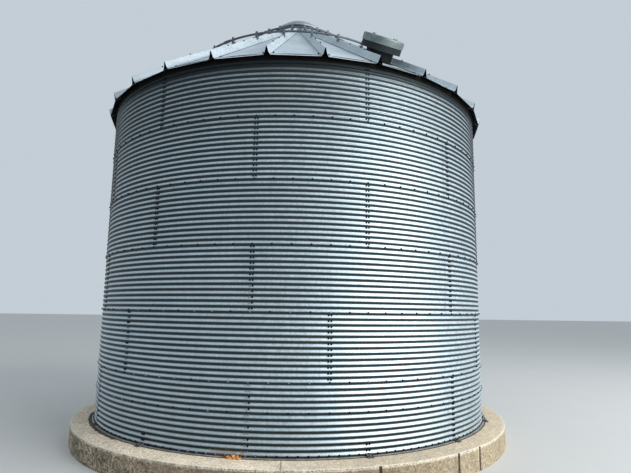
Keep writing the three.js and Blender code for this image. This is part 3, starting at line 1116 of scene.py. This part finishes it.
def buildAnchors():
    half = anchor["width"] / 2
    back = -(silo["wallRadius"] + silo["waveDepth"] / 2 + anchor["wallGap"])
    front = -anchor["reach"]
    low = padHigh.z + foot["lift"]
    plateTop, top = low + anchor["plate"], low + anchor["height"]
    sole = addBlock("sole", (-half, front, low), (half, back, plateTop))
    editMode()
    # raise a bent-up back leg from the strip next to the wall
    bend = back - anchor["plate"]
    bpy.ops.mesh.bisect(plane_co=(0, bend, 0), plane_no=(0, 1, 0))
    choose("FACE", lambda face: looksUp(face) and face.calc_center_median().y > bend)
    extrudeBy((0, 0, anchor["height"]))
    objectMode()
    gussets = []
    for side in (-1, 1):
        left, right = sorted((side * half, side * (half - anchor["gusset"])))
        gusset = addBlock("gusset", (left, front + anchor["gussetBack"], plateTop), (right, back, top))
        editMode()
        choose("VERT", lambda vert: vert.co.z > plateTop + 0.01 and vert.co.y < back - 0.03)
        bpy.ops.transform.translate(value=(0, 0, plateTop + anchor["gussetNose"] - top))
        objectMode()
        gussets.append(gusset)
    centre = (0, (front + back) / 2 - anchor["gussetBack"], plateTop + anchor["nutDepth"] / 2)
    nut = addCylinder(anchor["nutSides"], anchor["nutRadius"], anchor["nutDepth"], centre)
    editMode()
    choose("FACE", looksUp)
    bpy.ops.mesh.inset(thickness=anchor["boltInset"])
    extrudeBy((0, 0, anchor["boltEnd"]))
    objectMode()
    feet = joinPieces([sole, *gussets, nut], "anchor_feet")
    sharp = math.radians(anchor["sharp"])
    applyModifier(feet, "BEVEL", width=anchor["edge"], segments=1, limit_method="ANGLE", angle_limit=sharp)
    turnTo(feet, boltAzimuth(anchor["spacing"]))  # the one at bolt 0 is missing
    arrayRound(feet, perRow // anchor["spacing"] - 1, anchor["spacing"] * boltTurn)
    smooth(feet)
    dress(feet, anchorSteel)
    finishPiece(feet, "trim_steel")


# Pad: a chipped rim, joints of the forms, and cracks down its side

pad = {
    "sides": 1120,
    "crown": 3.270,  # radius at which the top starts to slope
    "edgeDrop": 0.015,
    "rimBevel": 0.010,
    "sideCuts": (0.06, 0.13, 0.20, 0.25),
    "topRings": (3.34, 3.41, 3.47, 3.51),
    "inset": 0.006,  # kept back from the rim's full radius, for the roughness
    "formJoints": (-48.1, -46.0, -32.2, 62.0, 95.0, 131.0, 165.0, -140.0, -110.0, -80.0),
    "jointDepth": 0.006,
    "cracks": (16.5, 35.5, 43.0, 118.0, -160.0),
    "crackDepth": 0.016,
    "grooveHalf": 0.16,  # degrees
    "rim": 0.03,  # width and height of what counts as the rim
    "rimDrop": 0.04,  # how far down the side it is as rough as the rim
    "roughTop": 3.3,  # radius outside which the top is rough
    "crackBand": 0.05,  # how far in from the rim the cracks are dark
    "crackTop": 0.02,  # how far down from the top they start
    "roughness": {"rim": 1.0, "side": 0.45, "top": 0.25},
}


def buildPad():
    radius = padHigh.x - pad["inset"]
    slab = addCylinder(pad["sides"], radius, padHigh.z, (0, 0, padHigh.z / 2))
    slab.name = "cast_pad"
    editMode()
    for height in pad["sideCuts"]:
        cutLevel(height)
    choose("FACE", looksUp)
    edge = radius
    for ring in (*reversed(pad["topRings"]), pad["crown"]):
        bpy.ops.mesh.inset(thickness=edge - ring)
        edge = ring
    # slope the top down to the rim
    cage = bmesh.from_edit_mesh(slab.data)
    for vert in cage.verts:
        away = vert.co.xy.length
        if vert.co.z > padHigh.z - 0.001 and away > pad["crown"] + 0.001:
            vert.co.z -= pad["edgeDrop"] * (away - pad["crown"]) / (radius - pad["crown"])
    bmesh.update_edit_mesh(slab.data)

    def onRim(vert):
        return vert.co.z > padHigh.z - pad["rim"] and vert.co.xy.length > radius - 0.001

    choose("EDGE", lambda edge: all(onRim(vert) for vert in edge.verts))
    bpy.ops.mesh.bevel(offset=pad["rimBevel"], segments=3)
    for turn in pad["formJoints"]:
        grooveSide(turn, pad["jointDepth"])
    for turn in pad["cracks"]:
        grooveSide(turn, -pad["crackDepth"])
    objectMode()
    roughenPad(slab, radius)
    smooth(slab, degrees=50)
    dress(slab, concrete, crackDark)
    finishPiece(slab, "concrete", "concrete_pad")
    step = 360 / pad["sides"]

    def inCrack(at):
        near = any(abs(azimuthOf(at) - turn) < step for turn in pad["cracks"])
        return near and at.xy.length > radius - pad["crackBand"] and at.z < padHigh.z - pad["crackTop"]

    repaint(slab, 1, inCrack)
    print("pad: cast, chipped and cracked")


# Moves the vertices of one upright line of the side out, or in if the depth is below zero
def grooveSide(turn, depth):
    def onLine(vert):
        near = abs(azimuthOf(vert.co) - turn) < pad["grooveHalf"]
        return near and vert.co.xy.length > padHigh.x - pad["rim"]

    choose("VERT", onLine)
    bpy.ops.transform.translate(value=polar(depth, math.radians(turn), 0))


def roughenPad(slab, radius):
    group = slab.vertex_groups.new(name="rough")
    for vert in slab.data.vertices:
        side = vert.co.xy.length > radius - pad["rim"]
        place = None
        if side:
            place = "rim" if vert.co.z > padHigh.z - pad["rimDrop"] else "side"
        elif vert.co.z > padHigh.z - pad["rim"] and vert.co.xy.length > pad["roughTop"]:
            place = "top"
        if place and vert.co.z > 0.001:
            group.add([vert.index], pad["roughness"][place], "REPLACE")
    displace(slab, "padLumps", grain=0.09, strength=0.016, middle=0.62, depth=4, vertex_group="rough")


# Near-black strip between the top of the wall and the roof sheets: a painted shadow under the eave
eaveShadowStrip = {"inside": 3.2098, "outside": 3.2150, "low": 0.020, "high": 0.066, "edge": 0.002, "steps": 168}


def buildEaveShadowStrip():
    inside, outside, edge = eaveShadowStrip["inside"], eaveShadowStrip["outside"], eaveShadowStrip["edge"]
    low, high = roofLow.z - eaveShadowStrip["low"], roofLow.z + eaveShadowStrip["high"]
    profile = [
        (inside, low), (outside - edge, low), (outside, low + edge * 1.5), (outside, high - edge),
        (outside - edge / 2, high), (inside, high), (inside, low),
    ]
    strip = turnPiece("eave_shadow_strip", profile, eaveShadowStrip["steps"])
    smooth(strip)
    dress(strip, eaveShadowPaint)
    finishPiece(strip, "trim_steel")


# Roof: a rib and the flat sheet beside it, modelled once and turned round the axis

roof = {
    "eaveRadius": 3.308,
    "eaveHeight": roofLow.z + 0.005,
    "pitch": 0.7,
    "topRadius": 0.4636,
    "ribHeight": 0.107,
    "ribLean": 0.027,  # how far the top of a rib leans out past its foot, at the eave
    "footHalf": 0.0435,
    "ribTaper": 0.9,
    "steel": 0.0014,
    "lip": 0.026,  # the lap beside the foot of a rib
    "lipLift": 0.0016,
    "sheetShares": (0.25, 0.5, 0.75, 1.0),
    "rowCuts": 13,
    "edgeBend": 0.030,  # a bend line, in from the eave
    "footShadowLine": 0.985,  # place of the painted shadow line at the foot of a rib, as a share of its half width
    "footShadowHalf": 0.0035,
    "buckle": 0.006,
}
ribShape = (  # half width and height of a rib, as shares of its foot and height
    (1.0, 0.0), (0.97, 0.09), (0.80, 0.16), (0.62, 0.26),
    (0.51, 0.40), (0.40, 0.56), (0.26, 0.77), (0.11, 0.965),
)


def roofHeight(radius):
    return roof["eaveHeight"] + (roof["eaveRadius"] - radius) * roof["pitch"]


# Height of the straight ridge of a rib, from its leaning end at the eave to the peak
def ridgeHeight(radius):
    low = Vector((roof["eaveRadius"] + roof["ribLean"], roof["eaveHeight"] + roof["ribHeight"]))
    high = Vector((roof["topRadius"], roofHeight(roof["topRadius"]) + roof["ribHeight"] * roof["ribTaper"]))
    return low.y + (low.x - radius) * (high.y - low.y) / (low.x - high.x)


# Section across a rib at azimuth 0 and the sheet to its right, at one radius
def roofSection(radius, scale, lean):
    heel = roof["footHalf"] * scale
    here = polar(radius, 0, roofHeight(radius))
    end = polar(radius, ribTurn, here.z)
    alongRight = (end - here).normalized()
    alongLeft = (polar(radius, -ribTurn, here.z) - here).normalized()
    up = Vector((0, -lean / roof["ribHeight"], 1))
    lifted = Vector((0, 0, roof["lipLift"]))
    points = [here + alongLeft * (heel + roof["lip"] * scale) + lifted]
    sides = [(alongLeft, pair) for pair in ribShape] + [(alongRight, pair) for pair in reversed(ribShape)]
    for along, (width, height) in sides:
        foothold = lifted if along is alongLeft and height < 0.1 else Vector((0, 0, 0))
        points.append(here + along * heel * width + up * (height * roof["ribHeight"] * scale) + foothold)
    crest = here + up * (roof["ribHeight"] * scale)
    points.insert(1 + len(ribShape), crest)
    reach = (end - here).length - heel
    for share in roof["sheetShares"]:
        points.append(here + alongRight * (heel + (reach - heel) * share))
    return points


def roofUnit():
    unit = startPiece("roofUnit")
    drawChain(roofSection(roof["eaveRadius"], 1.0, roof["ribLean"]))
    drawChain(roofSection(roof["topRadius"], roof["ribTaper"], 0.0))
    selectAll()
    bpy.ops.mesh.bridge_edge_loops(number_cuts=roof["rowCuts"], interpolation="LINEAR")
    selectAll()
    bendRadius = (roof["eaveRadius"] - roof["edgeBend"]) * math.cos(ribTurn / 2)
    bpy.ops.mesh.bisect(plane_co=polar(bendRadius, ribTurn / 2, 0), plane_no=polar(1, ribTurn / 2, 0))
    selectAll()
    bpy.ops.mesh.normals_make_consistent(inside=False)
    normal = sum((face.normal for face in bmesh.from_edit_mesh(unit.data).faces), Vector())
    if normal.z < 0:
        bpy.ops.mesh.flip_normals()
    objectMode()
    dress(unit, roofSteel, underRoofShade, ribFootShadow)
    length = roof["eaveRadius"] - roof["topRadius"]

    def atFoot(at):
        scale = roof["ribTaper"] + (1 - roof["ribTaper"]) * (-at.y - roof["topRadius"]) / length
        return abs(abs(at.x) - roof["footShadowLine"] * roof["footHalf"] * scale) < roof["footShadowHalf"]

    # painted shadow line in the crease at the foot of each rib
    repaint(unit, 2, atFoot)
    # the inner shell and rims take the near-black painted shade
    thicken(unit, roof["steel"], offset=-1, material_offset=1, material_offset_rim=1)
    return unit


def buildRoof():
    unit = roofUnit()
    for node in range(silo["ribs"] // silo["ribsPerPiece"]):
        units = []
        for rib in range(silo["ribsPerPiece"]):
            units.append(copyPiece(unit, ribAzimuth(node * silo["ribsPerPiece"] + rib)))
        sheets = joinPieces(units, f"ribbed_roof_{node + 1}")
        # thin sheets are never quite flat
        displace(sheets, f"roofWaves{node}", grain=0.8, strength=roof["buckle"], direction="Z")
        smooth(sheets, degrees=28)
        finishPiece(sheets, "roof_steel", f"roof_panels_{node + 1}")
    bpy.data.objects.remove(unit)
    print("roof: ribs and sheets in place")


roofBolts = {
    "eaveBack": 0.125,  # from the eave to the pair beside a rib
    "beside": 0.068,
    "ridgeRadii": (2.87, 2.39, 1.90, 1.42, 0.95),
    "size": 1.05,
    "sunk": 0.001,
}


# Turns a bolt that looks along -Y to stand on a slope at azimuth 0
def seatBolt(point, tilt, size):
    screw = makeBolt(0.0, 0.0, size)
    takeUp(screw)
    screw.rotation_euler.x = tilt
    screw.location = point
    return applyPlace()


def buildRoofBolts():
    flat = math.atan(roof["pitch"]) - math.pi / 2  # standing square on the roof
    parts = []
    eave = roof["eaveRadius"] - roofBolts["eaveBack"]
    for side in (-1, 1):
        at = polar(eave, 0, roofHeight(eave) + roofBolts["sunk"])
        at.x = side * roofBolts["beside"]
        parts.append(seatBolt(at, flat, roofBolts["size"]))
    for radius in roofBolts["ridgeRadii"]:
        at = polar(radius, 0, ridgeHeight(radius) - roofBolts["sunk"])
        parts.append(seatBolt(at, flat, roofBolts["size"]))
    screws = turnTo(joinPieces(parts, "roof_bolts"), ribAzimuth(0))
    arrayRound(screws, silo["ribs"], ribTurn)
    dress(screws, boltBlack)
    finishPiece(screws, "trim_steel")
    smooth(screws, degrees=30)


# Hoops: a pipe on a strap over each rib, with a sleeve at each joint of the pipe

hoop = {
    "tube": 0.0165,
    "tubeSides": 12,
    "steps": 168,
    "rings": (("lower", 1.944, 5.952), ("upper", 0.980, 6.610)),  # radius, height above the lowest row
    "sleeveTurns": (-0.58, 1.9, 4.2),
    "sleeveLength": 0.12,
    "sleeveRadius": 0.0225,
    "sleeveSteps": 6,
}


def buildHoop(name, radius, height):
    z = rowDatum + height
    takeUp()
    bpy.ops.mesh.primitive_torus_add(
        major_radius=radius, minor_radius=hoop["tube"], location=(0, 0, z),
        major_segments=hoop["steps"], minor_segments=hoop["tubeSides"],
    )
    pipe = applyPlace()
    sleeves = []
    halfTurn = hoop["sleeveLength"] / radius / 2
    for turn in hoop["sleeveTurns"]:
        profile = []
        for step in range(hoop["tubeSides"] + 1):
            around = math.tau * step / hoop["tubeSides"]
            out = radius + hoop["sleeveRadius"] * math.cos(around)
            profile.append(polar(out, turn - halfTurn, z + hoop["sleeveRadius"] * math.sin(around)))
        sleeve = startPiece("sleeve")
        drawChain(profile)
        selectAll()
        bpy.ops.mesh.remove_doubles(threshold=0.0001)
        bpy.ops.mesh.edge_face_add()
        spin(hoop["sleeveSteps"], 2 * halfTurn)
        closeShell()
        objectMode()
        sleeves.append(sleeve)
    piece = joinPieces([*sleeves, pipe], f"{name}_hoop_pipe")
    smooth(piece, degrees=50)
    dress(piece, hoopSteel)
    finishPiece(piece, "hoop_steel", f"{name}_roof_hoop")
    buildStraps(name, radius, z)


strapShape = {
    "width": 0.044,
    "steel": 0.005,
    "gap": 0.0005,  # between strap and pipe
    "top": 0.034,  # how far a strap stands above the middle of the pipe
    "topTaper": 0.62,
    "footSunk": 0.004,
    "legCut": 0.03,  # height of a cut above the rib
    "headCut": 0.012,  # height of a cut above the middle of the pipe
    # half widths and drops of the saddle over the rib, the drops as shares of the rib's height
    "saddle": ((0.024, -0.42), (0.016, -0.15)),
    "saddleTop": (0.007, 0.006),
    "saddleBack": 0.012,
    "saddleLength": 0.05,
    "saddleSteel": 0.004,
    "clipRadius": 0.021,
    "clipWidth": 0.02,
    "clipSteel": 0.003,
    "clipSteps": 8,
    "nutDrop": 0.034,
    "nutSize": 0.9,
}


# The bent piece that lies over the rib
def makeSaddle(front, crest):
    half = [(share, drop * roof["ribHeight"]) for share, drop in strapShape["saddle"]]
    half.append(strapShape["saddleTop"])
    sides = [(-share, drop) for share, drop in half] + half[::-1]
    base = Vector((0, front - strapShape["saddleBack"], crest - strapShape["saddleBack"]))
    saddle = startPiece("saddle")
    drawChain([base + Vector((across, 0, drop)) for across, drop in sides])
    length = strapShape["saddleLength"]
    extrudeAll((0, length, length * roof["pitch"]))
    closeShell()
    objectMode()
    thicken(saddle, strapShape["saddleSteel"], offset=0)
    return saddle


# The clip that goes round the back of the pipe
def makeClip(front, radius, z):
    bend, steps = strapShape["clipRadius"], strapShape["clipSteps"]
    start = front + 0.002
    points = [Vector((0, start, z - bend))]
    for step in range(steps + 1):
        around = math.pi * (step / steps - 0.5)
        points.append(Vector((0, -(radius - bend * math.cos(around)), z + bend * math.sin(around))))
    points.append(Vector((0, start, z + bend)))
    clip = startPiece("clip")
    drawChain(points)
    extrudeAll((strapShape["clipWidth"], 0, 0))
    selectAll()
    bpy.ops.transform.translate(value=(-strapShape["clipWidth"] / 2, 0, 0))
    closeShell()
    objectMode()
    thicken(clip, strapShape["clipSteel"], offset=0)
    return clip


def buildStraps(name, radius, z):
    crest = ridgeHeight(radius)
    half, steel = strapShape["width"] / 2, strapShape["steel"]
    front = -(radius + hoop["tube"] + steel + strapShape["gap"])
    low, high = crest - strapShape["footSunk"], z + strapShape["top"]
    strap = addBlock("strap", (-half, front, low), (half, front + steel, high))
    editMode()
    cutLevel(crest + strapShape["legCut"])
    cutLevel(z + strapShape["headCut"])
    choose("VERT", lambda vert: vert.co.z > high - 0.002)
    bpy.ops.transform.resize(value=(strapShape["topTaper"], 1, 1))
    objectMode()
    saddle = makeSaddle(front, crest)
    clip = makeClip(front, radius, z)
    nut = makeBolt(-front, z - strapShape["nutDrop"], strapShape["nutSize"])
    straps = turnTo(joinPieces([saddle, clip, nut, strap], f"{name}_hoop_straps"), ribAzimuth(0))
    arrayRound(straps, silo["ribs"], ribTurn)
    smooth(straps, degrees=40)
    dress(straps, bracketSteel)
    finishPiece(straps, "hoop_steel")


# Peak: collar, and a dome lid with a rolled edge

peak = {
    "collar": 0.463,
    "capRadius": 0.510,
    "rimHeight": 6.985,
    "rimSunk": 0.004,
    "rise": 0.255,
    "lip": 0.030,
    "steel": 0.0025,
    "beads": (0.17, 0.33),  # pressed rings
    "bead": 0.006,
    "beadHalf": 0.012,
    "domeSteps": 40,
    "domeShare": 0.985,  # of the lid's radius, before the edge turns down
    "steps": 84,
}


def domeHeight(radius):
    lift = sum(
        peak["bead"] * math.exp(-(((radius - bead) / peak["beadHalf"]) ** 2)) for bead in peak["beads"]
    )
    rise = (peak["rise"] - peak["bead"]) * (1 - (radius / peak["capRadius"]) ** 2)
    return rowDatum + peak["rimHeight"] - peak["rimSunk"] + rise + lift


def buildPeak():
    steel, rim, steps = peak["steel"], peak["capRadius"], peak["domeSteps"]
    rimTop = domeHeight(rim)
    lipLow = rimTop - peak["lip"]
    radii = [rim * peak["domeShare"] * step / steps for step in range(steps + 1)]
    outer = [(radius, domeHeight(radius)) for radius in radii]
    edge = [(rim - 0.002, rimTop - 0.002), (rim, rimTop - 0.008), (rim, lipLow + 0.006)]
    roll = [(rim - 0.003, lipLow), (rim - 0.010, lipLow), (rim - 0.010, lipLow + 0.006)]
    roll.append((rim - 0.005, lipLow + 0.01))
    inner = [(rim - 0.005, rimTop - 0.010)] + [(r * 0.98, z - steel) for r, z in reversed(outer)]
    lid = turnPiece("dome_lid", outer + edge + roll + inner, peak["steps"])
    smooth(lid, degrees=40)
    dress(lid, lidSteel)
    finishPiece(lid, "roof_steel", "peak_cap")
    radius = peak["collar"]
    bottom = roofHeight(radius) - 0.03
    top = domeHeight(radius) - 0.02
    middle = (bottom + top) / 2
    profile = [
        (radius, bottom), (radius, middle - 0.02), (radius + 0.006, middle - 0.012),
        (radius + 0.006, middle + 0.012), (radius, middle + 0.02), (radius, top),
        (radius + 0.012, top + 0.004), (radius + 0.012, top + 0.01), (radius - steel, top + 0.01),
        (radius - steel, bottom), (radius, bottom),
    ]
    collar = turnPiece("collar_ring", profile, peak["steps"])
    smooth(collar, degrees=40)
    dress(collar, collarSteel)
    finishPiece(collar, "trim_steel", "peak_collar")


# Roof vent: made upright on the axis, then tilted and moved to its panel

vent = {
    "panel": 2.5,
    "distance": 2.686,
    "neckRadius": 0.200,
    "neckHeight": 0.162,
    "neckFlange": 0.045,
    "capRadius": 0.302,
    "bottom": 0.141,
    "seam": 0.228,
    "top": 0.330,
    "step": 0.009,
    "steel": 0.002,
    "edge": 0.020,
    "edgeSteps": 4,
    "stayTurns": (40, 130),  # degrees
    "stayHalf": 0.017,
    "stayHeights": (0.175, 0.179),
    "knobTurns": (20, 110, 200, 290),
    "knobRadius": 0.225,
    "knobSize": 1.3,
    "hoodSteps": 72,
    "neckSteps": 48,
}


def seatOnPanel(piece):
    takeUp(piece)
    azimuth = ribAzimuth(vent["panel"])
    facet = math.cos(ribTurn / 2)
    slope = roof["pitch"] / facet
    rise = (roof["eaveRadius"] * facet - vent["distance"]) * slope
    piece.rotation_euler = (math.atan(slope), 0, azimuth)
    piece.location = polar(vent["distance"], azimuth, roof["eaveHeight"] + rise)
    applyPlace()


def hoodProfile():
    steel, edge = vent["steel"], vent["edge"]
    outer, skirt = vent["capRadius"], vent["capRadius"] - vent["step"]
    top, seam, bottom = vent["top"], vent["seam"], vent["bottom"]
    profile = [(0, top + 0.004), (outer * 0.5, top + 0.003)]
    for step in range(vent["edgeSteps"] + 1):
        turn = math.pi / 2 * step / vent["edgeSteps"]
        profile.append((outer - edge + edge * math.sin(turn), top - edge + edge * math.cos(turn)))
    profile += [(outer, seam + 0.006), (outer - 0.001, seam), (skirt, seam - 0.001), (skirt, bottom + 0.004)]
    profile += [(skirt - 0.004, bottom), (skirt - 0.008, bottom + 0.004), (skirt - steel, bottom + 0.010)]
    profile += [(skirt - steel, top - edge), (skirt - edge, top - 0.006), (0, top - 0.006)]
    return profile


def buildVent():
    hood = turnPiece("vent_hood", hoodProfile(), vent["hoodSteps"])
    dress(hood, ventSteel, ventSkirtShade)
    # the skirt below the seam takes the painted shade
    repaint(hood, 1, lambda at: at.z < vent["seam"] + 0.002)
    fittings = []
    reach, half = vent["capRadius"] - vent["step"] - 0.004, vent["stayHalf"]
    for turn in vent["stayTurns"]:
        low, high = vent["stayHeights"]
        stay = addBlock("stay", (-reach, -half, low), (reach, half, high))
        fittings.append(turnTo(stay, math.radians(turn)))
    for turn in vent["knobTurns"]:
        at = polar(vent["knobRadius"], math.radians(turn), vent["top"] + 0.001)
        fittings.append(seatBolt(at, -math.pi / 2, vent["knobSize"]))
    for part in fittings:
        dress(part, ventSteel)
    hood = joinPieces([*fittings, hood], "vent_hood")
    smooth(hood, degrees=40)
    seatOnPanel(hood)
    finishPiece(hood, "trim_steel", "vent_cap")
    steel, radius, height = vent["steel"], vent["neckRadius"], vent["neckHeight"]
    flange = radius + vent["neckFlange"]
    profile = [
        (flange, 0.001), (flange, 0.004), (radius + 0.004, 0.005), (radius, 0.009), (radius, height),
        (radius + 0.006, height + 0.001), (radius + 0.006, height + 0.003), (radius - steel, height + 0.003),
        (radius - steel, 0.001), (flange, 0.001),
    ]
    neck = turnPiece("vent_throat", profile, vent["neckSteps"])
    smooth(neck, degrees=40)
    seatOnPanel(neck)
    dress(neck, neckShadow)
    finishPiece(neck, "trim_steel", "vent_neck")
    print("roof: hoops, lid and vent in place")


buildWall()
buildBolts()
buildFlange()
buildSealant()
buildFoam()
buildAnchors()
buildPad()
buildEaveShadowStrip()
buildRoof()
buildRoofBolts()
for name, radius, height in hoop["rings"]:
    buildHoop(name, radius, height)
buildPeak()
buildVent()

# Stage: floor, sky, light and camera

stage = {
    "floor": rgb(0.62, 0.62, 0.60),
    "floorDark": rgb(0.58, 0.58, 0.565),
    "floorSize": 240,
    "sky": rgb(0.62, 0.69, 0.755),
    "skyStrength": 0.89,
    "keyEnergy": 5500,
    "keySize": 17.0,
    "keyPlace": (16.0, -12.5, 10.5),
    "keyAim": (0, 0, 2.5),
}


def buildStage():
    takeUp()
    bpy.ops.mesh.primitive_plane_add(size=stage["floorSize"], location=(0, 0, 0))
    floor = bpy.context.object
    floor.name = "floor"
    material, tree, shader = newMaterial("paleFloor")
    cloud = noise(tree, objectPlace(tree), scale=0.6, detail=3.0)
    paint(tree, shader, colour=blendColour(tree, cloud, stage["floor"], stage["floorDark"]), rough=0.9)
    dress(floor, material)

    world = bpy.data.worlds.new("softSky")
    bpy.context.scene.world = world
    world.use_nodes = True
    sky = world.node_tree.nodes["Background"]
    sky.inputs["Color"].default_value = stage["sky"]
    sky.inputs["Strength"].default_value = stage["skyStrength"]

    lamp = bpy.data.lights.new("keyLight", "AREA")
    lamp.energy = stage["keyEnergy"]
    lamp.size = stage["keySize"]
    key = bpy.data.objects.new("keyLight", lamp)
    key.location = stage["keyPlace"]
    key.rotation_mode = "QUATERNION"
    key.rotation_quaternion = (Vector(stage["keyAim"]) - key.location).to_track_quat("-Z", "Y")
    bpy.context.scene.collection.objects.link(key)


camera = {
    "place": (0.0, -9.156, 1.6575),  # the height is above the lowest row of bolts
    "pitch": 0.1461,
    "roll": -0.01375,
    "yaw": 0.04165,
    "lens": 28.33,
    "sensor": 36.0,
    "reach": 400,
}


def placeCamera():
    lens = bpy.data.cameras.new("eyeLevel")
    lens.lens = camera["lens"]
    lens.sensor_width = camera["sensor"]
    lens.clip_end = camera["reach"]
    eye = bpy.data.objects.new("eyeLevel", lens)
    x, y, z = camera["place"]
    eye.location = (x, y, z + rowDatum)
    yaw, pitch, roll = camera["yaw"], camera["pitch"], camera["roll"]
    ahead = Vector((math.sin(yaw) * math.cos(pitch), math.cos(yaw) * math.cos(pitch), math.sin(pitch)))
    right = Vector((math.cos(yaw), -math.sin(yaw), 0))
    up = right.cross(ahead)
    turn = Matrix.Identity(3)
    turn.col[0] = right * math.cos(roll) - up * math.sin(roll)
    turn.col[1] = right * math.sin(roll) + up * math.cos(roll)
    turn.col[2] = -ahead
    eye.rotation_mode = "QUATERNION"
    eye.rotation_quaternion = turn.to_quaternion()
    bpy.context.scene.collection.objects.link(eye)
    bpy.context.scene.camera = eye


buildStage()
placeCamera()
scene = bpy.context.scene
scene.view_settings.view_transform = "Standard"
print("stage and camera ready")
